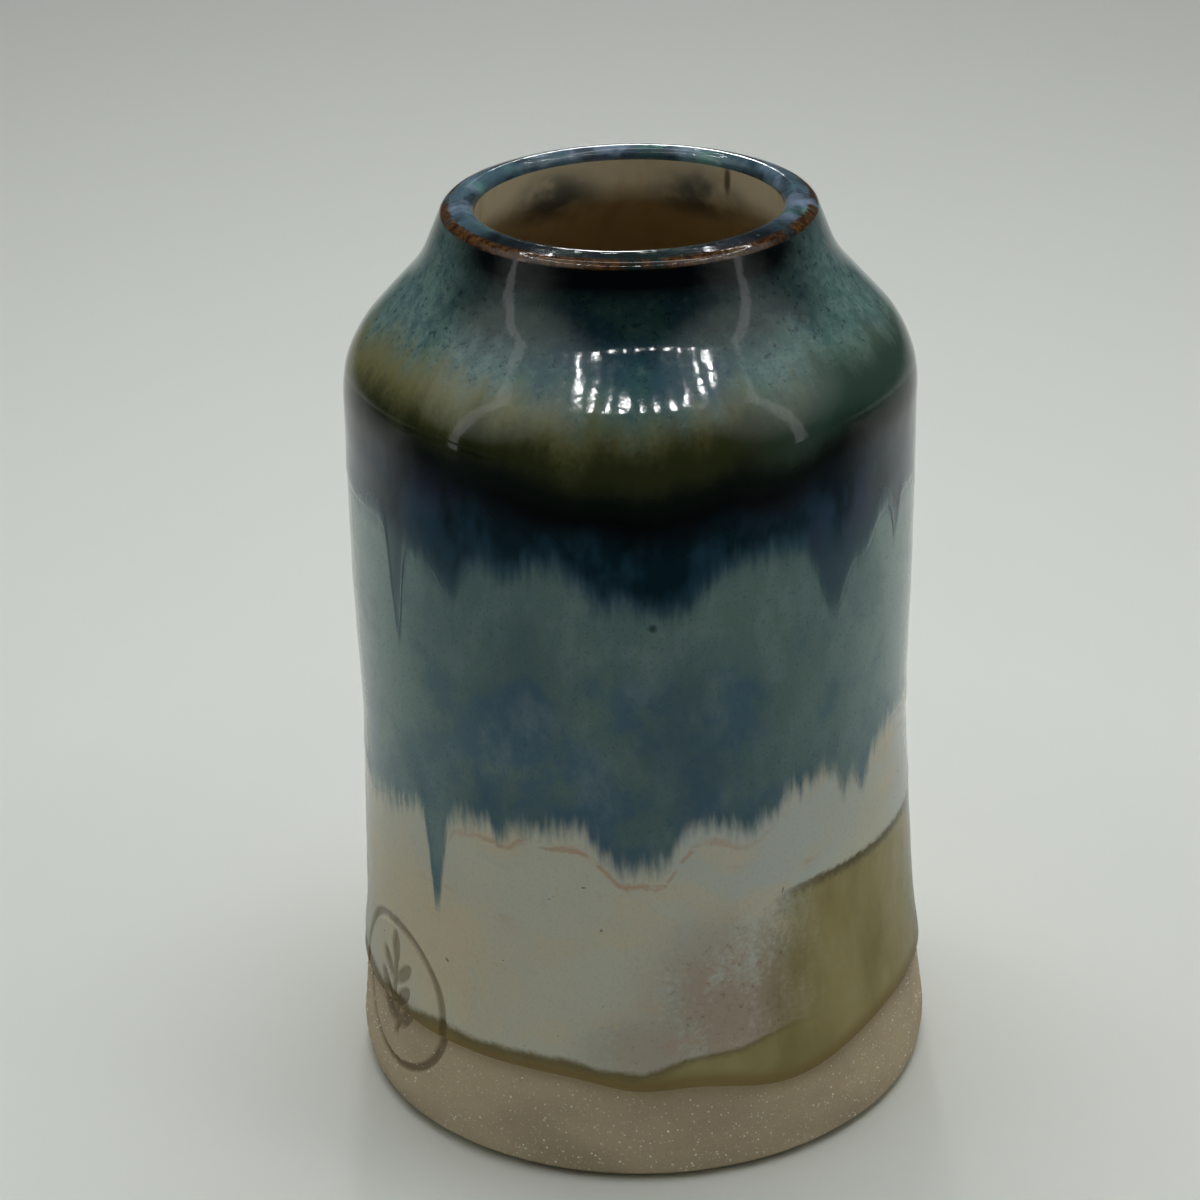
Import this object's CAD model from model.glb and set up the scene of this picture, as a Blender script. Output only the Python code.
import bpy
import math
import numpy as np
from mathutils import Matrix, Vector


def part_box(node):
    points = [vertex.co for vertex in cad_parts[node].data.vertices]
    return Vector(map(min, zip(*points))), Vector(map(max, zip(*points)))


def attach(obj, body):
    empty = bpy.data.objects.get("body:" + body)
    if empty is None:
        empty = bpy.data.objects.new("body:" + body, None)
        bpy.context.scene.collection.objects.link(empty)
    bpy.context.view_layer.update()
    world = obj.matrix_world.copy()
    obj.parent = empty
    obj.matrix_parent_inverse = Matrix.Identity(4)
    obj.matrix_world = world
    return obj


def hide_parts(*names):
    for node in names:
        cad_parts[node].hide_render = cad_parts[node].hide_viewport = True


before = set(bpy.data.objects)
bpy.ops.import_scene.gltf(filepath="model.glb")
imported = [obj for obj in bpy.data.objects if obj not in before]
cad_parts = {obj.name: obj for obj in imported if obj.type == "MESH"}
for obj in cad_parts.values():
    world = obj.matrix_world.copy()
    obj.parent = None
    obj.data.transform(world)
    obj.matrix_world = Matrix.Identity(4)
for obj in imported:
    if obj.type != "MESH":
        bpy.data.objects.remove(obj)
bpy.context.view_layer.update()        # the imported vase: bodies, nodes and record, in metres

from types import SimpleNamespace

mm = 0.001
scene = bpy.context.scene


# Sizes that the frame gives, in millimetres

def boxOf(node):
    low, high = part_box(node)
    return np.array(low) / mm, np.array(high) / mm


glaze = 0.45                                            # thickness of a coat
bodyRadius = boxOf("teal_glaze")[1][0] - glaze
floorHeight = boxOf("liner_glaze")[0][2]
cavityRadius = boxOf("liner_glaze")[1][0]
potHeight = boxOf("lip_glaze")[1][2]
print(f"frame read: {len(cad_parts)} nodes, a pot {potHeight:.1f} mm high on a {bodyRadius:.1f} mm body")


# Node graphs, for shaders and geometry alike

class Wire:
    # one output socket, so that maths on it reads as plain expressions
    def __init__(self, graph, socket):
        self.graph = graph
        self.socket = socket

    def out(self, name):
        return Wire(self.graph, self.socket.node.outputs[name])

    def maths(self, operation, other):
        return self.graph.maths(operation, self, other)

    def __add__(self, other):
        return self.maths("ADD", other)

    def __sub__(self, other):
        return self.maths("SUBTRACT", other)

    def __mul__(self, other):
        return self.maths("MULTIPLY", other)

    def __truediv__(self, other):
        return self.maths("DIVIDE", other)

    def __rsub__(self, other):
        return self.graph.maths("SUBTRACT", other, self)

    def __neg__(self):
        return self.maths("MULTIPLY", -1.0)

    __radd__ = __add__
    __rmul__ = __mul__


class Graph:
    def __init__(self, tree):
        self.tree = tree

    def node(self, kind, settings=None, inputs=None, output=0):
        made = self.tree.nodes.new(kind)
        for name, value in (settings or {}).items():
            setattr(made, name, value)
        for name, value in (inputs or {}).items():
            socket = made.inputs[name]
            if isinstance(value, Wire):
                self.tree.links.new(value.socket, socket)
            else:
                socket.default_value = value
        return Wire(self, made.outputs[output]) if made.outputs else made

    def maths(self, operation, *values):
        return self.node("ShaderNodeMath", {"operation": operation}, dict(enumerate(values)))

    def vectorMaths(self, operation, *values):
        output = "Value" if operation in ("DISTANCE", "LENGTH", "DOT_PRODUCT") else "Vector"
        return self.node("ShaderNodeVectorMath", {"operation": operation}, dict(enumerate(values)), output)

    def smooth(self, value, low, high):
        # 0 below low, 1 above high, eased between
        settings = {"interpolation_type": "SMOOTHSTEP"}
        return self.node("ShaderNodeMapRange", settings, {0: value, 1: low, 2: high, 3: 0.0, 4: 1.0})

    def blend(self, under, over, share):
        return self.node("ShaderNodeMix", {"data_type": "RGBA"}, {0: share, 6: under, 7: over}, 2)

    def attribute(self, name, output="Fac"):
        return self.node("ShaderNodeAttribute", {"attribute_name": name}, None, output)

    def noise(self, place, size, tall=1.0, shift=0.0, detail=3.0, rough=0.5):
        # size in the units of place, tall stretches it along the height
        scale = (1 / size, 1 / size, 1 / (size * tall))
        moved = self.node("ShaderNodeMapping", None, {"Vector": place, "Location": (shift, 0, shift), "Scale": scale})
        inputs = {"Vector": moved, "Scale": 1.0, "Detail": detail, "Roughness": rough}
        return self.node("ShaderNodeTexNoise", None, inputs)


def colour(code):
    # a paint chip's hex code as linear light
    parts = [int(code[i:i + 2], 16) / 255 for i in (0, 2, 4)]
    return (*[p / 12.92 if p < 0.04045 else ((p + 0.055) / 1.055) ** 2.4 for p in parts], 1.0)


# The outline that the pot and its coats are turned from

outlineSizes = {
    "footSpread": 2.4, "footWidest": 3.4, "footBevel": 1.1,       # foot, wall and waist
    "flare": 0.65, "flareHeight": 20.0, "waist": 0.45, "waistHeight": 45.0, "bellyHeight": 62.0,
    "wallTop": 88.0, "shoulderRun": 8.7, "shoulderSlope": 42.0,   # shoulder, degrees from upright
    "neckRise": 6.4, "neckSlope": 22.3,
    "lipWidth": 2.75, "lipFall": 0.95, "throatDepth": 5.4, "wall": 4.1,
    "footRing": 6.5, "recess": 1.3,
    "recessRound": 0.5, "ringRound": 0.35, "ringEdgeRound": 0.3,  # how far each corner is rounded
    "footRound": 7.0, "flareRound": 60.0, "waistRound": 120.0, "bellyRound": 160.0,
    "shoulderRound": 11.0, "neckRound": 14.0, "lipEdgeRound": 0.9, "crestRound": 0.95,
    "throatRound": 4.5, "innerShoulderRound": 6.5, "floorRound": 7.5,
    "longStep": 0.8, "arcStep": 0.15,                             # spacing of the outline's points
}


def outlineCorners(o):
    # (radius, height, rounding) from the middle of the underside to the middle of the floor
    slope = math.radians(o["shoulderSlope"])
    neckRadius = bodyRadius - o["shoulderRun"]
    neckHeight = o["wallTop"] + o["shoulderRun"] / math.tan(slope)
    lipRadius = neckRadius - o["neckRise"] * math.tan(math.radians(o["neckSlope"]))
    lipHeight = neckHeight + o["neckRise"]
    mouthRadius = lipRadius - o["lipWidth"]
    crest = lipHeight + o["lipFall"]
    footEdge = bodyRadius + o["footSpread"] - o["footBevel"] / 3
    ringOuter = footEdge - o["footBevel"]
    ringInner = ringOuter - o["footRing"]
    innerTop = o["wallTop"] - o["wall"] * math.tan(slope / 2)
    return [
        (0, o["recess"], 0), (ringInner - 1, o["recess"], o["recessRound"]), (ringInner, 0, o["ringRound"]),
        (ringOuter, 0, o["ringEdgeRound"]), (footEdge, o["footBevel"], o["ringRound"]),
        (bodyRadius + o["footSpread"], o["footWidest"], o["footRound"]),
        (bodyRadius + o["flare"], o["flareHeight"], o["flareRound"]),
        (bodyRadius - o["waist"], o["waistHeight"], o["waistRound"]),
        (bodyRadius, o["bellyHeight"], o["bellyRound"]), (bodyRadius, o["wallTop"], o["shoulderRound"]),
        (neckRadius, neckHeight, o["neckRound"]), (lipRadius, lipHeight, o["lipEdgeRound"]),
        (mouthRadius, crest, o["crestRound"]), (mouthRadius, crest - o["throatDepth"], o["throatRound"]),
        (cavityRadius, innerTop, o["innerShoulderRound"]),
        (cavityRadius - o["waist"], floorHeight, o["floorRound"]), (0, floorHeight, 0),
    ]


def roundedOutline(corners, o):
    # points along the outline, and where each corner's rounding starts and ends along it
    points = [np.array(c[:2], float) for c in corners]
    path = [points[0]]
    marks = [(0, 0)]

    def runTo(target):
        start = path[-1]
        steps = max(1, math.ceil(np.linalg.norm(target - start) / o["longStep"]))
        path.extend(start + (target - start) * k / steps for k in range(1, steps + 1))

    for before, here, after, corner in zip(points, points[1:], points[2:], corners[1:]):
        back = (before - here) / np.linalg.norm(before - here)
        ahead = (after - here) / np.linalg.norm(after - here)
        half = math.acos(back @ ahead) / 2
        rounding = corner[2]
        centre = here + (back + ahead) / np.linalg.norm(back + ahead) * rounding / math.sin(half)
        first = here + back * rounding / math.tan(half) - centre
        last = here + ahead * rounding / math.tan(half) - centre
        sweep = math.pi - 2 * half
        runTo(centre + first)
        start = len(path) - 1
        steps = max(2, math.ceil(sweep * rounding / o["arcStep"] / (1 + rounding / 20)))
        for k in range(1, steps + 1):
            turn = sweep * k / steps
            path.append(centre + (first * math.sin(sweep - turn) + last * math.sin(turn)) / math.sin(sweep))
        marks.append((start, len(path) - 1))
    runTo(points[-1])
    return np.array(path), marks


outline, cornerMarks = roundedOutline(outlineCorners(outlineSizes), outlineSizes)
outlineAlong = np.concatenate([[0], np.cumsum(np.linalg.norm(np.diff(outline, axis=0), axis=1))])
footCorner, lipCorner, crestCorner = 4, 11, 12
lipStart = outlineAlong[cornerMarks[lipCorner][0]]
lipEnd = outlineAlong[cornerMarks[crestCorner][1]]
outside = slice(cornerMarks[footCorner][0], cornerMarks[lipCorner][1] + 1)


def alongAt(height):
    # how far along the outline the outside reaches a height
    return np.interp(height, outline[outside, 1], outlineAlong[outside])


def heightAt(along):
    return np.interp(along, outlineAlong, outline[:, 1])


def makeOutline():
    # the outline as a curve, for the wrapping graph to sample
    data = bpy.data.curves.new("potOutline", "CURVE")
    data.dimensions = "3D"
    spline = data.splines.new("POLY")
    spline.points.add(len(outline) - 1)
    for point, (radius, height) in zip(spline.points, outline * mm):
        point.co = (radius, 0, height, 1)
    made = bpy.data.objects.new("potOutline", data)
    scene.collection.objects.link(made)
    return made


# Edges of the coats: level, and runs of (degrees from the front, drop, half width in degrees)

coatEdges = {
    "honey": {"level": 13.2, "runs": [(-110, 1.8, 16), (-2, 1.3, 10), (30, 3.0, 20), (118, 2.4, 24), (168, 1.2, 16)]},
    "white": {"level": 15.3, "runs": [(-140, 1.4, 18), (-60, 0.8, 10), (2, 2.6, 10), (18, 2.8, 9), (128, 2.0, 22),
                                      (178, 1.0, 12)]},
    "blue": {"level": 43.9, "runs": [(-173, 3.2, 6), (-157, 5.0, 4), (-140, 8.5, 3), (-124, 3.4, 6), (-106, 4.8, 5),
                                     (-91, 2.4, 4), (-72, 2.6, 9), (-59, 1.6, 3.5), (-45.5, 11.8, 2.4), (-28, 0.9, 3),
                                     (-4, 4.4, 5), (4, 5.2, 5), (22, 3.4, 7), (46, 3.6, 2), (52, 5.0, 3), (86, 3.4, 4),
                                     (104, 6.0, 5), (120, 3.0, 4), (134, 9.2, 3), (152, 4.0, 6), (168, 6.4, 3.5)]},
    "navy": {"level": 74.6, "runs": [(-166, 3.6, 6), (-150, 8.0, 3.5), (-134, 4.0, 6), (-118, 7.0, 4), (-102, 3.4, 6),
                                     (-54, 13.0, 2.4), (-47, 2.6, 4), (-38.5, 5.6, 4.5), (-26, 2.2, 4), (-6, 3.6, 6),
                                     (7, 5.2, 8), (42, 8.6, 5), (51, 3.4, 4), (63.5, 4.6, 2), (84, 3.0, 5),
                                     (96, 8.0, 4), (112, 3.2, 6), (127, 5.6, 4), (143, 9.0, 3.5), (160, 4.2, 6),
                                     (176, 6.4, 4)]},
    "teal": {"level": 87.0, "runs": [(-150, 2.4, 16), (-96, 1.6, 14), (-14, 1.6, 16), (5, 2.6, 12), (28, 1.0, 12),
                                     (104, 3.0, 18), (168, 1.8, 14)]},
}
blueSway = {"rise": 3.4, "side": 80.0}     # the blue edge stands higher on one side
honeyPatch = {"from": 28.0, "to": 96.0, "rise": 19.0, "steep": 1.6, "gentle": 9.0, "blur": 14.0}
narrowestCoat = 1.2


def eased(values, start, span):
    share = np.clip((values - start) / span, 0, 1)
    return share * share * (3 - 2 * share)


def plainEdge(name, angles):
    height = np.full_like(angles, coatEdges[name]["level"])
    for centre, drop, halfWidth in coatEdges[name]["runs"]:
        away = (angles - centre + 180) % 360 - 180
        height = height - drop * np.exp(-(away / halfWidth) ** 2)
    return height


def edgeHeights(angles):
    # height of every coat's lower edge at each angle in degrees
    heights = {}
    below = None
    for name in coatEdges:
        height = plainEdge(name, angles)
        if name == "white":
            p = honeyPatch
            rising = eased(angles, p["from"] - p["steep"], 2 * p["steep"])
            height = height + p["rise"] * (rising - eased(angles, p["to"] - p["gentle"], 2 * p["gentle"]))
        if name == "blue":
            height = height + blueSway["rise"] * np.cos(np.radians(angles - blueSway["side"]))
        if below is not None:
            height = np.maximum(height, below + narrowestCoat)
        heights[name] = height
        below = height
    return heights


# The maker's mark: a ring and a leaf sprig, pressed in

mark = {"angle": -61.0, "height": 15.0, "radius": 9.6, "line": 0.9, "sprig": 11.5, "leaf": 4.0, "leafWidth": 1.7,
        "leafTilt": 42.0, "pairs": 3, "depth": 0.6, "glazeDip": 0.4, "edge": 0.16}


def markPressed(angles, heights):
    # 1 where the stamp went in, 0 outside it, eased over the mark's edge
    m = mark
    away = np.radians(angles - m["angle"])
    across = (bodyRadius + glaze) * np.sin(away)
    up = heights - m["height"]
    gaps = [np.abs(np.hypot(across, up) - m["radius"] + m["line"] / 2) - m["line"] / 2]
    gaps.append(np.maximum(np.abs(across) - m["line"] / 2, np.abs(up) - m["sprig"] / 2))
    pitch = m["sprig"] / (m["pairs"] + 1)
    reach = m["leaf"] / 2 * math.sin(math.radians(m["leafTilt"])) + m["line"] / 2
    leaves = [(0, m["sprig"] / 2, 0)]
    for pair in range(m["pairs"]):
        for side in (-1, 1):
            leaves.append((side * reach, pitch * (pair + 1) - m["sprig"] / 2, side * m["leafTilt"]))
    for x, y, tilt in leaves:
        turn = math.radians(tilt)
        lengthwise = (across - x) * math.sin(turn) + (up - y) * math.cos(turn)
        sideways = (across - x) * math.cos(turn) - (up - y) * math.sin(turn)
        fromLeaf = np.hypot(lengthwise / (m["leaf"] / 2), sideways / (m["leafWidth"] / 2))
        gaps.append((fromLeaf - 1) * m["leafWidth"] / 2)
    pressed = 1 - eased(np.min(gaps, axis=0), -m["edge"], 2 * m["edge"])
    onThisSide = np.abs(away) < 1.2
    return np.where(onThisSide, pressed, 0)


# Sheets: each piece starts flat, as (angle, distance along the outline, height off the clay)

def sheetAngles(fineStep, plainStep):
    # columns round the pot, closer together where the mark is
    low, high = mark["angle"] - 19, mark["angle"] + 19
    fine = np.arange(low, high, fineStep)
    plain = np.linspace(high, low + 360, round((360 - high + low) / plainStep), endpoint=False)
    return np.concatenate([fine, (plain + 180) % 360 - 180])


coatColumns = sheetAngles(0.2, 0.56)


def makeSheet(name, angles, along, depth, closed):
    # closed: the section is a loop. Otherwise it starts and ends on the pot's axis
    columns, rows = along.shape
    heights = heightAt(along)
    spread = np.repeat(angles[:, None], rows, axis=1)
    points = np.stack([np.radians(spread), along * mm, depth * mm], axis=-1).reshape(-1, 3)
    index = np.arange(columns * rows).reshape(columns, rows)
    beside = np.roll(index, -1, axis=0)
    if closed:
        above = np.roll(index, -1, axis=1)
        aboveBeside = np.roll(beside, -1, axis=1)
        faces = np.stack([index, beside, aboveBeside, above], axis=-1).reshape(-1, 4).tolist()
    else:
        quads = np.stack([index[:, :-1], beside[:, :-1], beside[:, 1:], index[:, 1:]], axis=-1)
        faces = quads.reshape(-1, 4).tolist()
        poles = np.array([[0, 0, 0], [0, outlineAlong[-1] * mm, 0]])
        poles[:, 2] = depth[0, [0, -1]] * mm
        points = np.concatenate([points, poles])
        first = columns * rows
        faces += np.stack([np.full(columns, first), beside[:, 0], index[:, 0]], axis=-1).tolist()
        faces += np.stack([index[:, -1], beside[:, -1], np.full(columns, first + 1)], axis=-1).tolist()
    data = bpy.data.meshes.new(name)
    data.from_pydata(points.tolist(), [], faces)
    edges = edgeHeights(angles)
    readings = {"over" + edge.capitalize(): heights - edges[edge][:, None] for edge in coatEdges}
    # the patch again, with softer sides for its colour to fade over
    p, plainWhite = honeyPatch, plainEdge("white", angles)[:, None]
    entered, left = [eased(angles, p[end] - p["blur"], 2 * p["blur"]) for end in ("from", "to")]
    blurred = entered * (1 - left)
    readings["inPatch"] = np.repeat(blurred[:, None], rows, axis=1)
    readings["overPatch"] = heights - plainWhite - p["rise"]
    readings["overPlain"] = heights - plainWhite
    readings["pressed"] = markPressed(spread, heights) * (outlineAlong[outside][-1] > along)
    readings["pastLip"] = along - lipStart
    for reading, values in readings.items():
        stored = data.attributes.new(reading, "FLOAT", "POINT")
        filled = np.zeros(len(points))
        filled[:columns * rows] = values.ravel()
        stored.data.foreach_set("value", filled)
    made = bpy.data.objects.new(name, data)
    scene.collection.objects.link(made)
    return made


handThrown = {"bow": -0.5, "wobble": 0.05, "ringDepth": 0.012, "ringPitch": 6.5, "ripple": 0.07}


def makeWrapGraph():
    # wraps a flat sheet onto the pot: turns the outline, and gives it the unevenness of throwing by hand
    tree = bpy.data.node_groups.new("wrapOnPot", "GeometryNodeTree")
    sockets = [("Sheet", "NodeSocketGeometry"), ("Outline", "NodeSocketObject"), ("Material", "NodeSocketMaterial")]
    sizes = ("Height", "Bow", "Wobble", "Ring Depth", "Ring Pitch", "Ripple", "Glaze")
    for label, kind in sockets + [(size, "NodeSocketFloat") for size in sizes]:
        tree.interface.new_socket(label, in_out="INPUT", socket_type=kind)
    tree.interface.new_socket("Piece", in_out="OUTPUT", socket_type="NodeSocketGeometry")
    g = Graph(tree)
    given = g.node("NodeGroupInput")
    flat = g.node("ShaderNodeSeparateXYZ", None, {0: g.node("GeometryNodeInputPosition")})
    angle, along, depth = flat, flat.out("Y"), flat.out("Z")
    curve = g.node("GeometryNodeObjectInfo", None, {"Object": given.out("Outline")}, "Geometry")
    sampled = g.node("GeometryNodeSampleCurve", {"mode": "LENGTH"}, {"Curves": curve, "Length": along}, "Position")
    spot = g.node("ShaderNodeSeparateXYZ", None, {0: sampled})
    heading = g.node("ShaderNodeSeparateXYZ", None, {0: sampled.out("Tangent")})
    sine, cosine = g.maths("SINE", angle), g.maths("COSINE", angle)
    height = spot.out("Z")
    share = height / given.out("Height")
    # slow unevenness, the same for the clay and for every coat on it
    around = g.node("ShaderNodeCombineXYZ", None, {0: sine, 1: cosine, 2: share * 3.0})
    slow = g.node("ShaderNodeTexNoise", None, {"Vector": around, "Scale": 1.3, "Detail": 1.0}) - 0.5
    ring = g.maths("SINE", height / given.out("Ring Pitch") * math.tau + angle + slow * 9.0)
    offAxis = g.maths("MINIMUM", spot / (20 * mm), 1.0)
    uneven = offAxis * (slow * 2.0 * given.out("Wobble") + ring * given.out("Ring Depth"))
    # the glaze pools a little more in some places than in others
    pool = g.node("ShaderNodeTexNoise", None, {"Vector": around, "Scale": 5.0, "Detail": 2.0}) - 0.5
    skin = depth + pool * given.out("Ripple") * g.node("ShaderNodeClamp", None, {0: depth / given.out("Glaze")})
    radius = spot + heading.out("Z") * skin + uneven
    level = height - heading * skin
    bow = given.out("Bow") * g.maths("SINE", share * math.pi)
    place = g.node("ShaderNodeCombineXYZ", None, {0: radius * sine + bow * offAxis, 1: -(radius * cosine), 2: level})
    wallMm = (bodyRadius + glaze, 1 / mm)
    held = g.node("ShaderNodeCombineXYZ", None, {0: sine * wallMm[0], 1: cosine * -wallMm[0], 2: height * wallMm[1]})
    stored = g.node("GeometryNodeStoreNamedAttribute", {"data_type": "FLOAT_VECTOR"},
                    {"Geometry": given, "Name": "place", "Value": held})
    wrapped = g.node("GeometryNodeSetPosition", None, {"Geometry": stored, "Position": place})
    smoothed = g.node("GeometryNodeSetShadeSmooth", None, {"Geometry": wrapped})
    crease = g.maths("GREATER_THAN", g.node("GeometryNodeInputMeshEdgeAngle"), math.radians(55))
    creased = g.node("GeometryNodeSetShadeSmooth", {"domain": "EDGE"},
                     {"Geometry": smoothed, "Selection": crease, "Shade Smooth": False})
    real = g.node("GeometryNodeRealizeInstances", None, {"Geometry": creased})
    finished = g.node("GeometryNodeSetMaterial", None, {"Geometry": real, "Material": given.out("Material")})
    tree.links.new(finished.socket, g.node("NodeGroupOutput").inputs[0])
    return tree


def setInputs(modifier, values):
    for item in modifier.node_group.interface.items_tree:
        if item.in_out == "INPUT" and item.name in values:
            modifier[item.identifier] = values[item.name]


def applyGraph(piece, tree, values):
    # runs a geometry graph on a piece and keeps the result as its plain mesh
    modifier = piece.modifiers.new("graph", "NODES")
    modifier.node_group = tree
    setInputs(modifier, values)
    graphs = bpy.context.evaluated_depsgraph_get()
    result = bpy.data.meshes.new_from_object(piece.evaluated_get(graphs), depsgraph=graphs)
    piece.modifiers.remove(modifier)
    used = piece.data
    piece.data = result
    bpy.data.meshes.remove(used)
    result.name = piece.name
    return piece


def wrap(piece, material):
    sizes = {"Height": potHeight * mm, "Bow": handThrown["bow"] * mm, "Wobble": handThrown["wobble"] * mm,
             "Ring Depth": handThrown["ringDepth"] * mm, "Ring Pitch": handThrown["ringPitch"] * mm,
             "Ripple": handThrown["ripple"] * mm, "Glaze": glaze * mm}
    applyGraph(piece, wrapGraph, {"Outline": potOutline, "Material": material, **sizes})
    print(f"  {piece.name}: {len(piece.data.polygons)} faces")
    return piece


def declare(piece, slotName, *nodes):
    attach(piece, "root")
    if nodes:
        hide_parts(*nodes)
    return piece


# Finishes

def newFinish(name):
    material = bpy.data.materials.new(name)
    material.use_nodes = True
    return material, Graph(material.node_tree), material.node_tree.nodes["Principled BSDF"]


def plug(g, shader, name, wire):
    g.tree.links.new(wire.socket, shader.inputs[name])


def spotMask(g, place, angle, height, size, tall=1.0):
    # 1 at a spot on the wall, fading to 0 at its size
    turn = math.radians(angle)
    radius = bodyRadius + glaze
    centre = (radius * math.sin(turn), -radius * math.cos(turn), height / tall)
    squeezed = g.vectorMaths("MULTIPLY", place, (1, 1, 1 / tall))
    return 1 - g.smooth(g.vectorMaths("DISTANCE", squeezed, centre), size * 0.25, size)


paintCodes = {
    "honeyLight": "aca06f", "honeyDeep": "948858", "amber": "8a7448", "patchEdge": "5f5747",
    "white": "d3d2c0", "whiteCool": "c9cec5", "whiteWarm": "dbceb0", "pinkish": "b5a08a", "speck": "4d443a",
    "peach": "c39e7e",
    "blueGreen": "6a837e", "blueSlate": "5a7686", "blueDeep": "3c586f", "bluePale": "8fa6a3",
    "navy": "08252f", "navyBright": "2a4a5e", "violet": "3d475f", "black": "020404", "blackGreen": "07140f",
    "olive": "35391f", "oliveLight": "7c7a52",
    "teal": "234a59", "tealPale": "6e8b86", "tealGreen": "365d5a", "tealSpeck": "15323f", "neckDark": "030506",
    "iron": "24140a", "ironLight": "60401e", "inMark": "6a573b",
    "lipSlate": "465f6b", "lipPale": "75859a", "lipGreen": "5b8a80", "lipDark": "142028", "lipFront": "05090b",
    "lipSpeck": "8b9d9c", "lipInner": "a8956c",
    "linerDeep": "a88a4e", "linerPale": "d6c9a8", "linerWarm": "bda577", "smudge": "3d4348", "drip": "3a2a1c",
    "clayPale": "cbb999", "clayDeep": "bba88c", "clayGrain": "a08f72", "clayGrit": "e6dfca",
    "clayFlashed": "a08a66", "clayPressed": "6f5c40",
}
paint = {name: colour(code) for name, code in paintCodes.items()}


def coatReadings(g):
    # what the outside coats' colours are worked out from: where they are, and cloudy patterns of several sizes
    place, spot = g.attribute("place", "Vector"), objectMm(g)
    side = g.node("ShaderNodeSeparateXYZ", None, {0: place})
    streaks = g.noise(place, 2.4, 5.0, 1.3, 4.0, 0.6)
    hairs = g.noise(place, 0.7, 7.0, 5.9, 3.0)
    over = {name: g.attribute("over" + name.capitalize()) for name in coatEdges}
    return SimpleNamespace(
        place=place, spot=spot, side=side, front=-side.out("Y"), height=side.out("Z"), over=over, streaks=streaks,
        aside=g.maths("ABSOLUTE", side), broad=g.noise(place, 16, 1.3, 3.1), patchy=g.noise(place, 6, 2.0, 7.7),
        fine=g.noise(spot, 0.7, 1.0, 2.4, 3.0, 0.65), grain=g.noise(spot, 0.35, 1.0, 8.4, 2.0, 0.6),
        ragged=(streaks - 0.5) * 4.0 + (hairs - 0.5) * 4.0)


def honeyPaint(g, r, rim, plain):
    # an amber line where it thins out on the clay, and a darker one where the white lies over it
    honey = g.blend(paint["honeyLight"], paint["honeyDeep"], g.smooth(r.patchy, 0.35, 0.7))
    thin = 1 - g.smooth(r.over["honey"] + (r.patchy - 0.5) * 1.5, 0.6, 2.6)
    honey = g.blend(honey, paint["amber"], thin * 0.8)
    rimLine = g.smooth(rim, -1.7, -0.4) * (1 - g.smooth(rim, 0.0, 0.5)) * g.attribute("inPatch")
    honey = g.blend(honey, paint["patchEdge"], rimLine * 0.75)
    nearWhite = g.smooth(plain + (r.fine - 0.5) * 1.2, -1.5, -0.2) * (1 - g.attribute("inPatch"))
    return g.blend(honey, paint["patchEdge"], nearWhite * 0.5)


def whitePaint(g, r):
    # clouded cool and warm, rosy and speckled beside the patch, with a peach line under the blue
    place, patchy, fine = r.place, r.patchy, r.fine
    white = g.blend(paint["white"], paint["whiteCool"], g.smooth(r.broad, 0.42, 0.6))
    white = g.blend(white, paint["whiteWarm"], g.smooth(g.noise(place, 9, 0.6, 12.0), 0.5, 0.68) * 0.6)
    white = g.blend(white, paint["whiteWarm"], spotMask(g, place, -50, 25, 20, 0.8) * 0.9)
    white = g.blend(white, paint["whiteCool"], g.smooth(r.streaks, 0.5, 0.7) * 0.35)
    rosy = g.maths("MAXIMUM", spotMask(g, place, 19, 21, 15, 1.1), spotMask(g, place, 2, 17, 11, 0.6) * 0.7)
    rosy = rosy * g.smooth(patchy + (fine - 0.5) * 0.6, 0.25, 0.55)
    white = g.blend(white, paint["pinkish"], rosy * 0.85)
    white = g.blend(white, paint["speck"], rosy * g.smooth(fine, 0.6, 0.74) * 0.5)
    white = g.blend(white, paint["speck"], g.smooth(r.grain, 0.5, 0.72) * 0.09)
    wisps = g.smooth(g.noise(place, 11, 0.28, 21.0, 5.0, 0.6), 0.56, 0.7) * g.smooth(r.broad, 0.42, 0.6) * 0.42
    belowBlue = r.over["blue"] + (patchy - 0.5) * 2.5 + (fine - 0.5) * 0.8
    line = g.smooth(belowBlue, -2.7, -2.1) * (1 - g.smooth(belowBlue, -2.0, -1.3))
    line = line * spotMask(g, place, -10, 37, 26) * g.smooth(g.noise(place, 3, 0.5, 5.0), 0.4, 0.55)
    white = g.blend(white, paint["peach"], g.maths("MAXIMUM", line * 0.75, wisps))
    return g.blend(white, paint["speck"], g.smooth(g.noise(r.spot, 1.1, 1.0, 33.0, 1.0), 0.77, 0.8) * 0.6)


def lowerPaint(g, r):
    # honey, with the white over it except in the patch; the white thins towards the patch's foot
    rim = g.attribute("overPatch") + (r.fine - 0.5) * 1.2
    plain = g.attribute("overPlain") - spotMask(g, r.place, 22, 13, 18, 0.45) * 4.0 + (r.patchy - 0.5) * 1.2
    patch = g.smooth(g.attribute("inPatch") + (r.fine - 0.5) * 0.5 + (r.patchy - 0.5) * 0.9, 0.1, 0.95)
    patch = patch * (1 - g.smooth(rim, -0.3, 0.4))
    covered = g.smooth(plain + (r.fine - 0.5) * 0.9 + (r.streaks - 0.5) * 1.2, -0.45, 0.6)
    return g.blend(honeyPaint(g, r, rim, plain), whitePaint(g, r), covered * (1 - patch))


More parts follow.
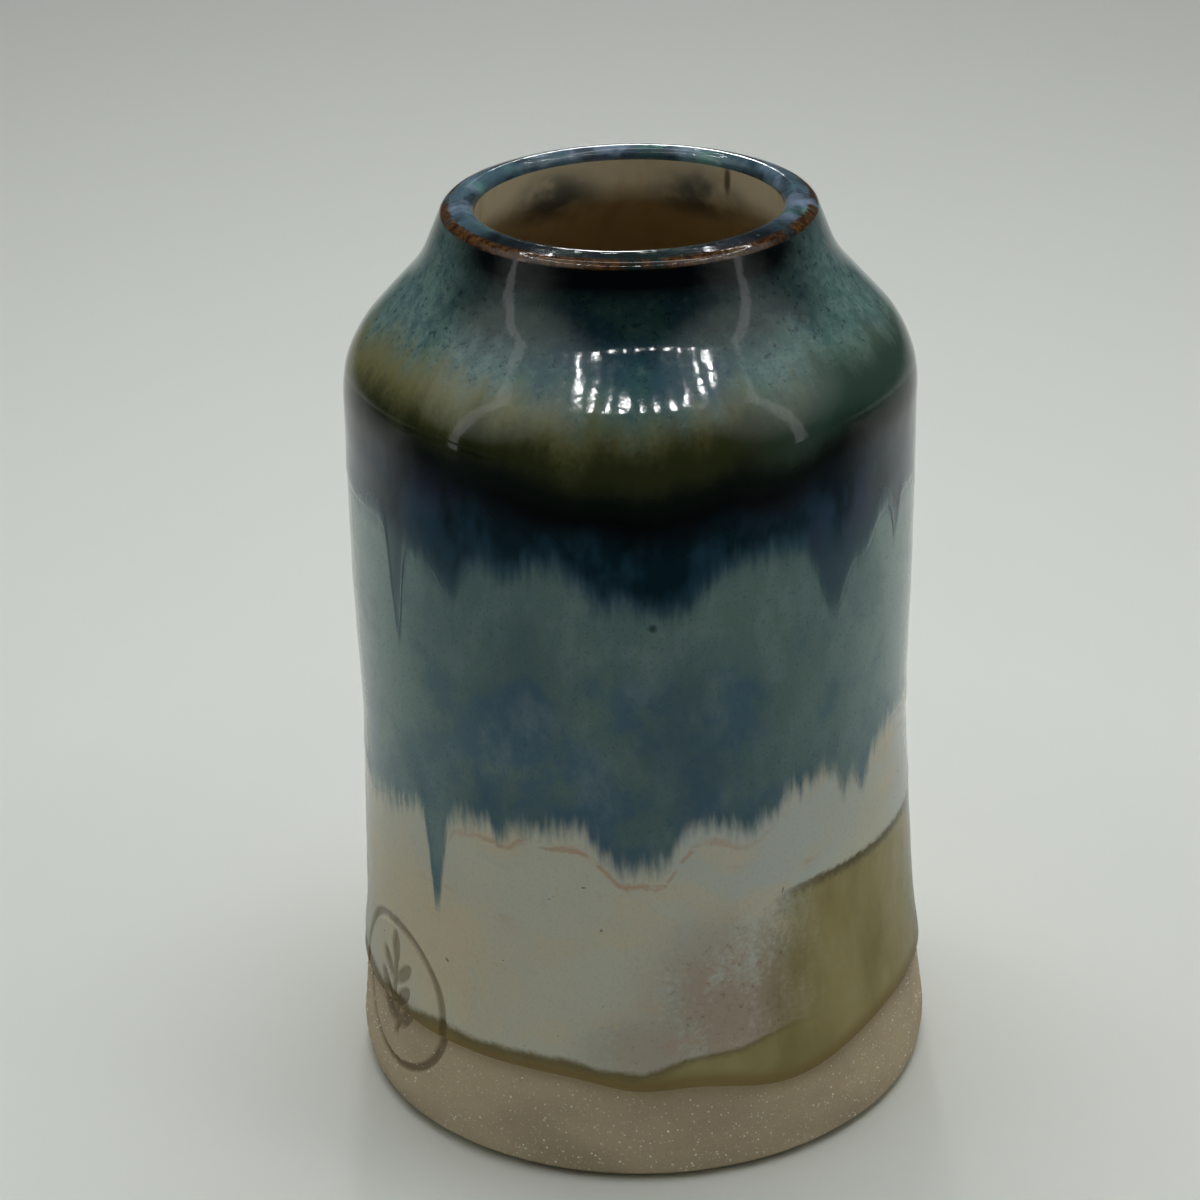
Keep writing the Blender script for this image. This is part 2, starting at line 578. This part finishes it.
def addBlue(g, r, skin):
    # streaky and cloudy, deeper in pools and at the tips of its runs, paler at the sides
    place = r.place
    cloudy = g.smooth(g.noise(place, 8, 1.2, 31.0, 5.0, 0.6), 0.42, 0.6)
    blue = g.blend(paint["blueGreen"], paint["blueSlate"], cloudy * (1 - g.smooth(r.over["navy"], -14, -4) * 0.7))
    blue = g.blend(blue, paint["bluePale"], g.smooth(g.noise(place, 5, 1.5, 61.0, 5.0, 0.65), 0.48, 0.68) * 0.3)
    pools = g.maths("MAXIMUM", spotMask(g, place, 13, 54, 13, 1.2), spotMask(g, place, -24, 63, 10, 1.5) * 0.7)
    pools = g.maths("MAXIMUM", pools * g.smooth(r.patchy, 0.3, 0.6), spotMask(g, place, 2, 46, 10, 1.0) * 0.5)
    tips = (1 - g.smooth(r.over["blue"] + (r.patchy - 0.5) * 6.0, 0.5, 8.0)) * 0.4
    blue = g.blend(blue, paint["blueDeep"], g.maths("MAXIMUM", pools * 0.55, tips))
    paler = g.smooth(r.aside + (r.patchy - 0.5) * 8.0, 15, 29) * (0.9 - cloudy * 0.35)
    blue = g.blend(blue, paint["bluePale"], paler)
    blue = g.blend(blue, paint["blueDeep"], g.smooth(r.grain, 0.55, 0.7) * 0.3)
    skin = g.blend(skin, blue, g.smooth(r.over["blue"] + r.ragged, -1.7, 2.0))
    return g.blend(skin, paint["black"], spotMask(g, place, 3, 68.3, 0.7, 1.0) * 0.6)


def addNavy(g, r, skin, under):
    # bright at its ragged edge, sinking to black; its runs are paler at the sides
    paleTips = g.smooth(r.aside, 12, 24) * (1 - g.smooth(r.height, 70, 79)) * 0.75
    edge = g.smooth(r.over["navy"] + r.ragged * 0.7, -2.0, 1.6)
    skin = g.blend(skin, paint["navyBright"], edge * (0.85 - paleTips * 0.45))
    deep = g.blend(paint["navy"], paint["violet"], g.smooth(r.aside, 9, 22) * g.smooth(r.patchy, 0.35, 0.6) * 0.8)
    deep = g.blend(deep, paint["navyBright"], g.smooth(g.noise(r.place, 4, 1.8, 27.0, 4.0), 0.44, 0.66) * 0.6)
    sunk = g.smooth(r.over["navy"] + r.ragged * 0.6 + (r.patchy - 0.5) * 4.0, -0.2, 3.0)
    sunk = sunk * (g.smooth(r.height, 63, 70) * 0.75 + 0.25)
    skin = g.blend(skin, deep, sunk * (1 - paleTips))
    return g.blend(skin, paint["black"], g.smooth(under, -9.0, -3.5) * (0.97 - g.smooth(r.aside, 14, 26) * 0.4))


def addTeal(g, r, skin, under):
    # an olive band, then the mottled shoulder
    fine, patchy = r.fine, r.patchy
    skin = g.blend(skin, paint["blackGreen"], g.smooth(under, -4.5, -2.0))
    light = g.smooth(under + (fine - 0.5) * 2.0 + (patchy - 0.5) * 5.0 - r.side * 0.06, 1.5, 6.5)
    olive = g.blend(paint["olive"], paint["oliveLight"], light * 0.85)
    olive = g.blend(olive, paint["tealGreen"], g.smooth(r.side, 8, 22) * 0.45)
    skin = g.blend(skin, olive, g.smooth(under, -2.2, 1.4) * 0.95)
    mottle = g.noise(r.spot, 1.6, 1.0, 40.0, 5.0, 0.7)
    teal = g.blend(paint["teal"], paint["tealGreen"], g.smooth(g.noise(r.spot, 7, 1.0, 51.0), 0.45, 0.62))
    paler = g.maths("MAXIMUM", g.smooth(r.aside, 9, 19), (1 - g.smooth(under, 5.0, 9.0)) * 0.5)
    teal = g.blend(teal, paint["tealPale"], paler * (g.smooth(mottle, 0.3, 0.7) * 0.6 + 0.25))
    teal = g.blend(teal, paint["tealPale"], g.smooth(mottle, 0.5, 0.68) * 0.3)
    teal = g.blend(teal, paint["tealSpeck"], g.smooth(fine, 0.56, 0.68) * 0.7)
    return g.blend(skin, teal, g.smooth(under + (fine - 0.5) * 2.0 + (r.streaks - 0.5) * 3.0, 3.0, 8.0) * 0.95)


def addNeck(g, r, skin):
    # nearly black under the lip in front, and brown where the glaze breaks over the lip's edge
    pastLip = g.attribute("pastLip")
    nearLip = g.smooth(pastLip + (r.patchy - 0.5) * 4.0 + (r.fine - 0.5) * 1.5, -12.5, -6.0)
    nearLip = nearLip * (g.smooth(r.front, 10, 24) * 0.75 + g.smooth(pastLip, -4.5, -0.2) * 0.35)
    skin = g.blend(skin, paint["neckDark"], g.maths("MINIMUM", nearLip, 0.98))
    return g.blend(skin, ironPaint(g, r.fine), ironBand(g, pastLip, r.patchy, r.fine))


def outerColour(g):
    # one colour recipe for all the outside coats, so that they run together where they meet
    r = coatReadings(g)
    under = r.over["teal"] + (r.patchy - 0.5) * 4.0 + (r.streaks - 0.5) * 1.5
    skin = addBlue(g, r, lowerPaint(g, r))
    skin = addTeal(g, r, addNavy(g, r, skin, under), under)
    # glaze pools darker in the mark
    return g.blend(addNeck(g, r, skin), paint["inMark"], g.attribute("pressed") * 0.5)


def objectMm(g):
    place = g.vectorMaths("SCALE", g.node("ShaderNodeTexCoord", None, None, "Object"))
    place.socket.node.inputs["Scale"].default_value = 1 / mm
    return place


def ironPaint(g, fine):
    return g.blend(paint["iron"], paint["ironLight"], g.smooth(fine, 0.32, 0.75))


def ironBand(g, pastLip, patchy, fine):
    # the glaze breaks to brown along the lip's outer edge
    band = g.smooth(pastLip, -0.15, 0.15) * (1 - g.smooth(pastLip + (fine - 0.5), 0.75, 1.2))
    return band * g.smooth(fine * 0.2 + patchy, 0.42, 0.58)


def glazeFinish(name, roughness, pebble):
    material, g, shader = newFinish(name)
    plug(g, shader, "Base Color", outerColour(g))
    place = g.attribute("place", "Vector")
    soft = g.noise(place, 5, 1.0, 9.0, 2.0)
    plug(g, shader, "Roughness", roughness + (soft - 0.5) * 0.06)
    shader.inputs["IOR"].default_value = 1.5
    spot = objectMm(g)
    height = g.noise(spot, 2.6, 1.0, 17.0, 3.0, 0.5) + g.noise(spot, 0.5, 1.0, 3.0, 1.0) * 0.05
    bump = g.node("ShaderNodeBump", None, {"Strength": pebble, "Distance": 0.07 * mm, "Height": height})
    plug(g, shader, "Normal", bump)
    return material


def clayFinish():
    material, g, shader = newFinish("bareStoneware")
    place = g.attribute("place", "Vector")
    broad = g.noise(place, 14, 0.6, 2.0)
    grain = g.noise(place, 0.45, 1.0, 6.0, 4.0, 0.7)
    body = g.blend(paint["clayPale"], paint["clayDeep"], g.smooth(broad, 0.4, 0.65))
    body = g.blend(body, paint["clayGrain"], g.smooth(grain, 0.55, 0.75) * 0.5)
    body = g.blend(body, paint["clayGrit"], g.smooth(g.noise(place, 0.3, 1.0, 11.0, 2.0), 0.64, 0.7) * 0.8)
    flashed = g.smooth(g.attribute("overHoney"), -2.2, 0.0)
    body = g.blend(body, paint["clayFlashed"], flashed * 0.5)
    body = g.blend(body, paint["clayPressed"], g.attribute("pressed") * 0.6)
    plug(g, shader, "Base Color", body)
    plug(g, shader, "Roughness", 0.78 + (grain - 0.5) * 0.25)
    bump = g.node("ShaderNodeBump", None, {"Strength": 0.7, "Distance": 0.08 * mm, "Height": grain})
    plug(g, shader, "Normal", bump)
    return material


def linerFinish():
    material, g, shader = newFinish("creamLiner")
    place = g.attribute("place", "Vector")
    heightUp = g.node("ShaderNodeSeparateXYZ", None, {0: place}).out("Z")
    broad = g.noise(place, 12, 0.8, 4.0)
    cream = g.blend(paint["linerDeep"], paint["linerPale"], g.smooth(heightUp + (broad - 0.5) * 16, 72, 101))
    cream = g.blend(cream, paint["linerWarm"], g.smooth(g.noise(place, 5, 1.0, 8.0), 0.5, 0.7) * 0.4)
    soft = g.noise(place, 9, 0.4, 15.0, 4.0)
    smudge = g.maths("MAXIMUM", spotMask(g, place, -150, 100, 15, 0.28), spotMask(g, place, 150, 100, 15, 0.28))
    cream = g.blend(cream, paint["smudge"], smudge * g.smooth(soft, 0.25, 0.65) * 0.85)
    drip = spotMask(g, place, 138, 102.4, 1.3, 2.0)
    cream = g.blend(cream, paint["drip"], drip * 0.8)
    plug(g, shader, "Base Color", cream)
    plug(g, shader, "Roughness", 0.16 + (broad - 0.5) * 0.1)
    bump = g.node("ShaderNodeBump", None, {"Strength": 0.25, "Distance": 0.05 * mm, "Height": g.noise(place, 2.2)})
    plug(g, shader, "Normal", bump)
    return material


def lipFinish():
    material, g, shader = newFinish("lipGlaze")
    spot = objectMm(g)
    patchy = g.noise(g.attribute("place", "Vector"), 6, 2.0, 7.7)
    cloudy = g.noise(spot, 7, 1.0, 3.0, 4.0, 0.6)
    fine = g.noise(spot, 0.7, 1.0, 2.4, 3.0, 0.65)
    front = -g.node("ShaderNodeSeparateXYZ", None, {0: spot}).out("Y")
    skin = g.blend(paint["lipSlate"], paint["lipPale"], g.smooth(cloudy, 0.46, 0.64))
    skin = g.blend(skin, paint["lipGreen"], g.smooth(g.noise(spot, 8, 1.0, 13.0), 0.5, 0.62) * 0.8)
    skin = g.blend(skin, paint["lipDark"], g.smooth(g.noise(spot, 5, 1.0, 23.0), 0.48, 0.64) * 0.75)
    skin = g.blend(skin, paint["lipFront"], g.smooth(front + (cloudy - 0.5) * 8.0, 5, 14) * 0.92)
    skin = g.blend(skin, paint["lipSpeck"], g.smooth(fine, 0.6, 0.76) * 0.25)
    pastLip = g.attribute("pastLip")
    skin = g.blend(skin, ironPaint(g, fine), ironBand(g, pastLip, patchy, fine))
    skin = g.blend(skin, paint["lipInner"], g.smooth(pastLip + (cloudy - 0.5) * 1.5, 3.6, 4.6))
    plug(g, shader, "Base Color", skin)
    plug(g, shader, "Roughness", 0.07 + fine * 0.05)
    shader.inputs["IOR"].default_value = 1.5
    bump = g.node("ShaderNodeBump", None, {"Strength": 0.35, "Distance": 0.05 * mm, "Height": g.noise(spot, 2.0)})
    plug(g, shader, "Normal", bump)
    return material


def grogFinish():
    material, g, shader = newFinish("whiteGrog")
    place = g.node("ShaderNodeTexCoord", None, None, "Object")
    tint = g.node("ShaderNodeTexNoise", None, {"Vector": place, "Scale": 400.0})
    plug(g, shader, "Base Color", g.blend(colour("e6dfcf"), colour("fbf8ef"), g.smooth(tint, 0.4, 0.6)))
    shader.inputs["Roughness"].default_value = 0.35
    return material


# Pieces

potOutline = makeOutline()
wrapGraph = makeWrapGraph()

coatPieces = {
    "honey": {"rows": 60, "backRows": 4, "roughness": 0.14, "pebble": 0.35, "bead": 0.03},
    "white": {"rows": 84, "backRows": 8, "roughness": 0.13, "pebble": 0.35, "bead": 0.07},
    "blue": {"rows": 92, "backRows": 8, "roughness": 0.10, "pebble": 0.35, "bead": 0.08},
    "navy": {"rows": 50, "backRows": 6, "roughness": 0.07, "pebble": 0.3, "bead": 0.06},
    "teal": {"rows": 84, "backRows": 30, "roughness": 0.075, "pebble": 0.35, "bead": 0.04},
}
beadWidth = 0.8      # how far above its edge a coat stands thickest
rolledEdge = 0.5     # the lowest coat's edge is rounded over this height


def makeCoat(name, lower, upper):
    # one outside coat, between two edges given as distances along the outline
    size = coatPieces[name]
    front = np.linspace(0, 1, size["rows"] + 1)
    back = np.linspace(1, 0, size["backRows"] + 1)
    rise = np.concatenate([front, back])
    along = lower[:, None] + (upper - lower)[:, None] * rise[None, :]
    heights = heightAt(along)
    pressed = markPressed(np.repeat(coatColumns[:, None], len(rise), axis=1), heights)
    above = along - lower[:, None]
    bead = size["bead"] * above / beadWidth * np.exp(1 - above / beadWidth) * (1 - rise[None, :] ** 4)
    depth = glaze + bead - mark["glazeDip"] * pressed
    if name == "honey":
        rolled = np.clip(above / rolledEdge, 0, 1)
        depth = depth * (0.12 + 0.88 * np.sqrt(1 - (1 - rolled) ** 2))
    depth[:, len(front):] = -mark["depth"] * pressed[:, len(front):]
    sheet = makeSheet(name + "Glaze", coatColumns, along, depth, True)
    finish = glazeFinish(name + "Glaze", size["roughness"], size["pebble"])
    return declare(wrap(sheet, finish), name + "_glaze", name + "_glaze")


def makeOutsideCoats():
    edges = edgeHeights(coatColumns)
    lowers = [alongAt(edges[name]) for name in coatEdges] + [np.full_like(coatColumns, lipStart)]
    for name, lower, upper in zip(coatEdges, lowers, lowers[1:]):
        makeCoat(name, lower, upper)


def makeBand(name, start, end, rows, backRows, finish, slotName, *nodes):
    # a coat with straight edges
    along = np.concatenate([np.linspace(start, end, rows + 1), np.linspace(end, start, backRows + 1)])
    depth = np.where(np.arange(len(along)) <= rows, glaze, 0)
    shape = (len(coatColumns), 1)
    sheet = makeSheet(name, coatColumns, np.tile(along, shape), np.tile(depth, shape).astype(float), True)
    return declare(wrap(sheet, finish), slotName, *nodes)


linerSheet = {"throat": 18.0, "throatRows": 36, "rows": 60, "backRows": 24, "shyOfAxis": 0.05}


def makeLiner():
    # the inside coat, down to the middle of the floor and back under itself
    c, end = linerSheet, outlineAlong[-1]
    throatEnd, lastRow = lipEnd + c["throat"], end - c["shyOfAxis"]
    front = np.concatenate([np.linspace(lipEnd, throatEnd, c["throatRows"], endpoint=False),
                            np.linspace(throatEnd, end, c["rows"])])
    along = np.concatenate([[lipEnd], front[:-1], [lastRow]])
    depth = np.full(len(along), glaze)
    depth[0] = 0
    shape = (len(coatColumns), 1)
    # the section runs from the clay out to the glaze's face and in to the axis; its back follows the clay
    back = np.linspace(lastRow, lipEnd, c["backRows"])
    along = np.concatenate([along, back[:-1]])
    depth = np.concatenate([depth, np.zeros(len(back) - 1)])
    sheet = makeSheet("linerGlaze", coatColumns, np.tile(along, shape), np.tile(depth, shape), True)
    return declare(wrap(sheet, linerFinish()), "liner_glaze", "liner_glaze")


claySheet = {"fineStep": 0.3, "plainStep": 1.1, "underStep": 1.5, "wallStep": 0.25, "hiddenStep": 2.2,
             "insideStep": 3.5, "fineTo": 25.5}


def makeClay():
    c = claySheet
    footAt = outlineAlong[outside][0]
    fineTo = alongAt(c["fineTo"])
    stops = [(0.4, footAt - 2, c["underStep"]), (footAt - 2, fineTo, c["wallStep"]),
             (fineTo, lipStart, c["hiddenStep"]), (lipStart, lipEnd, c["wallStep"]),
             (lipEnd, outlineAlong[-1] - 0.4, c["insideStep"])]
    along = np.concatenate([np.linspace(a, b, max(2, round((b - a) / step)), endpoint=False) for a, b, step in stops])
    columns = sheetAngles(c["fineStep"], c["plainStep"])
    along = np.tile(along, (len(columns), 1))
    pressed = markPressed(np.repeat(columns[:, None], along.shape[1], axis=1), heightAt(along))
    depth = -mark["depth"] * pressed * ((along > footAt) & (along < lipStart))
    sheet = makeSheet("clayBody", columns, along, depth, False)
    return declare(wrap(sheet, clayFinish()), "stoneware_clay", "clay_body")


grog = {"density": 42.0, "smallest": 0.06, "largest": 0.16, "lowest": 1.2, "shyOfGlaze": 0.8, "seed": 11}


def makeGrogGraph():
    # white grit that shows on the bare clay
    tree = bpy.data.node_groups.new("scatterGrog", "GeometryNodeTree")
    sockets = [("Blank", "NodeSocketGeometry"), ("Clay", "NodeSocketObject"), ("Density", "NodeSocketFloat"),
               ("Smallest", "NodeSocketFloat"), ("Largest", "NodeSocketFloat"), ("Lowest", "NodeSocketFloat"),
               ("Shy Of Glaze", "NodeSocketFloat"), ("Seed", "NodeSocketInt"), ("Material", "NodeSocketMaterial")]
    for label, kind in sockets:
        tree.interface.new_socket(label, in_out="INPUT", socket_type=kind)
    tree.interface.new_socket("Grog", in_out="OUTPUT", socket_type="NodeSocketGeometry")
    g = Graph(tree)
    given = g.node("NodeGroupInput")
    clay = g.node("GeometryNodeObjectInfo", None, {"Object": given.out("Clay")}, "Geometry")
    height = g.node("ShaderNodeSeparateXYZ", None, {0: g.node("GeometryNodeInputPosition")}).out("Z")
    overGlaze = g.node("GeometryNodeInputNamedAttribute", {"data_type": "FLOAT"}, {"Name": "overHoney"})
    bare = g.maths("GREATER_THAN", height, given.out("Lowest"))
    bare = bare * g.maths("LESS_THAN", overGlaze, -given.out("Shy Of Glaze"))
    points = g.node("GeometryNodeDistributePointsOnFaces", None,
                    {"Mesh": clay, "Selection": bare, "Density": given.out("Density"), "Seed": given.out("Seed")})
    grain = g.node("GeometryNodeMeshIcoSphere", None, {"Radius": 1.0, "Subdivisions": 1})
    size = g.node("FunctionNodeRandomValue", {"data_type": "FLOAT"},
                  {2: given.out("Smallest"), 3: given.out("Largest"), "Seed": given.out("Seed")}, 1)
    turn = g.node("FunctionNodeRandomValue", {"data_type": "FLOAT_VECTOR"}, {1: (6.28, 6.28, 6.28)}, 0)
    placed = g.node("GeometryNodeInstanceOnPoints", None,
                    {"Points": points, "Instance": grain, "Rotation": turn, "Scale": size})
    real = g.node("GeometryNodeRealizeInstances", None, {"Geometry": placed})
    finished = g.node("GeometryNodeSetMaterial", None, {"Geometry": real, "Material": given.out("Material")})
    tree.links.new(finished.socket, g.node("NodeGroupOutput").inputs[0])
    return tree


def makeGrog(clay):
    grains = bpy.data.objects.new("grogGrains", bpy.data.meshes.new("grogBlank"))
    scene.collection.objects.link(grains)
    perSquareMetre = grog["density"] * 1e4
    applyGraph(grains, makeGrogGraph(), {
        "Clay": clay, "Density": perSquareMetre, "Smallest": grog["smallest"] * mm, "Largest": grog["largest"] * mm,
        "Lowest": grog["lowest"] * mm, "Shy Of Glaze": grog["shyOfGlaze"], "Seed": grog["seed"],
        "Material": grogFinish()})
    print(f"  grogGrains: {len(grains.data.polygons)} faces")
    return declare(grains, "stoneware_clay")


print("turning the pot")
clayBody = makeClay()
makeOutsideCoats()
makeBand("lipGlaze", lipStart, lipEnd, 26, 8, lipFinish(), "lip_glaze", "lip_glaze")
makeLiner()
makeGrog(clayBody)
bpy.data.objects.remove(potOutline)


# Studio

studio = {
    "floorSize": 6.0, "floorColour": "eaeee8", "mirroredFloor": 0.02,
    "worldColour": "ccd3cd", "worldStrength": 0.09, "sideGlow": 16.0, "backGlow": 0.8,
    "overhead": 1.66, "overheadPlace": (0.03, 0.13, 0.62), "overheadSize": (0.5, 0.4),        # watts and metres
    "strip": 0.2, "stripPlace": (0.01, 0.02, 0.5), "stripSize": (0.4, 0.02),
    "rimLamp": 0.7, "rimPlace": (-0.008, 0.85, 0.56), "rimSize": (0.06, 0.09),
    "sides": {"left": -72, "right": 66},                                                      # degrees from the front
    "line": 0.17, "lineAway": 0.75, "lineHeight": 0.42, "lineSize": (0.075, 0.8),
    "fill": 0.42, "fillAway": 0.9, "fillHeight": 0.4, "fillSize": 0.7, "fillTurn": 1.3,
    "ringLamp": 0.028, "dots": 40, "ringRadius": 0.158, "ringHeight": 0.32, "ringShift": 0.012, "dotSize": 0.0025,
}


def makeFloor():
    data = bpy.data.meshes.new("floor")
    half = studio["floorSize"] / 2
    data.from_pydata([(-half, -half, 0), (half, -half, 0), (half, half, 0), (-half, half, 0)], [], [(0, 1, 2, 3)])
    floor = bpy.data.objects.new("floor", data)
    scene.collection.objects.link(floor)
    material, g, shader = newFinish("paleFloor")
    where = g.node("ShaderNodeTexCoord", None, None, "Object")
    paper = g.noise(where, 0.12)
    pale = colour(studio["floorColour"])
    seen = g.blend(pale, tuple(c * 0.97 for c in pale), paper)
    # the glaze mirrors a dark floor in front of the pot and a pale one behind it
    mirrored = g.node("ShaderNodeLightPath", None, None, "Is Glossy Ray")
    inFront = 1 - g.smooth(g.node("ShaderNodeSeparateXYZ", None, {0: where}).out("Y"), -0.04, 0.10)
    plug(g, shader, "Base Color", g.blend(seen, (*[studio["mirroredFloor"]] * 3, 1), mirrored * inFront))
    shader.inputs["Roughness"].default_value = 0.6
    data.materials.append(material)


def addLight(name, kind, place, target, energy, **settings):
    data = bpy.data.lights.new(name, kind)
    data.energy = energy
    for key, value in settings.items():
        setattr(data, key, value)
    made = bpy.data.objects.new(name, data)
    aim = Vector(target) - Vector(place)
    made.matrix_world = Matrix.Translation(place) @ aim.to_track_quat("-Z", "Y").to_matrix().to_4x4()
    scene.collection.objects.link(made)
    return made


def addPanel(name, place, target, energy, size):
    return addLight(name, "AREA", place, target, energy, shape="RECTANGLE", size=size[0], size_y=size[1])


def besidePot(turn, away, height):
    heading = math.radians(turn)
    return (away * math.sin(heading), -away * math.cos(heading), height)


def makeLights():
    s = studio
    middle = (0, 0, potHeight * mm / 2)
    overhead = addPanel("overhead", s["overheadPlace"], (0, 0.1, 0), s["overhead"], s["overheadSize"])
    overhead.visible_glossy = False
    addPanel("strip", s["stripPlace"], middle, s["strip"], s["stripSize"])
    # low behind the pot, for the bright line along the lip
    addPanel("rimLamp", s["rimPlace"], (0, 0, potHeight * mm), s["rimLamp"], s["rimSize"])
    for side, turn in s["sides"].items():
        addPanel(side + "Line", besidePot(turn, s["lineAway"], s["lineHeight"]), middle, s["line"], s["lineSize"])
        place = besidePot(turn * s["fillTurn"], s["fillAway"], s["fillHeight"])
        fill = addLight(side + "Fill", "AREA", place, middle, s["fill"], shape="DISK", size=s["fillSize"])
        fill.visible_glossy = False
    # a level ring of small lamps over the pot
    for k in range(s["dots"]):
        x, y, z = besidePot(360 * k / s["dots"], s["ringRadius"], s["ringHeight"])
        addLight(f"ringLamp{k}", "POINT", (x + s["ringShift"], y, z), middle, s["ringLamp"],
                 shadow_soft_size=s["dotSize"])


def makeWorld():
    # a pale room. The glaze mirrors it dark in front, with a soft glow from each side
    world = bpy.data.worlds.new("studio")
    world.use_nodes = True
    scene.world = world
    g = Graph(world.node_tree)
    background = world.node_tree.nodes["Background"]
    pale = colour(studio["worldColour"])
    heading = g.node("ShaderNodeTexCoord")
    behind = g.smooth(g.node("ShaderNodeSeparateXYZ", None, {0: heading}).out("Y"), -0.2, 0.6)
    leftGlow = g.smooth(g.vectorMaths("DOT_PRODUCT", heading, (-0.66, -0.18, 0.73)), 0.78, 0.99)
    rightGlow = g.smooth(g.vectorMaths("DOT_PRODUCT", heading, (0.66, -0.22, 0.72)), 0.78, 0.99)
    glow = (leftGlow + rightGlow) * studio["sideGlow"] + behind * studio["backGlow"]
    mirrored = g.node("ShaderNodeVectorMath", {"operation": "SCALE"}, {0: tuple(pale[:3]), "Scale": glow})
    glossy = g.node("ShaderNodeLightPath", None, None, "Is Glossy Ray")
    seen = g.blend(pale, mirrored, glossy)
    g.tree.links.new(seen.socket, background.inputs["Color"])
    background.inputs["Strength"].default_value = studio["worldStrength"]


def makeCamera():
    view = {"place": (-4.2, -338.4, 217.6), "pitch": 25.43, "roll": 1.4, "lens": 98.2}   # mm and degrees
    data = bpy.data.cameras.new("camera")
    data.lens = view["lens"]
    data.sensor_width = 36.0
    data.clip_start = 0.01
    camera = bpy.data.objects.new("camera", data)
    tilt = Matrix.Rotation(math.radians(90 - view["pitch"]), 4, "X")
    roll = Matrix.Rotation(-math.radians(view["roll"]), 4, "Z")
    camera.matrix_world = Matrix.Translation(Vector(view["place"]) * mm) @ tilt @ roll
    scene.collection.objects.link(camera)
    scene.camera = camera


makeFloor()
makeLights()
makeWorld()
makeCamera()
scene.view_settings.view_transform = "Standard"
print("studio ready")
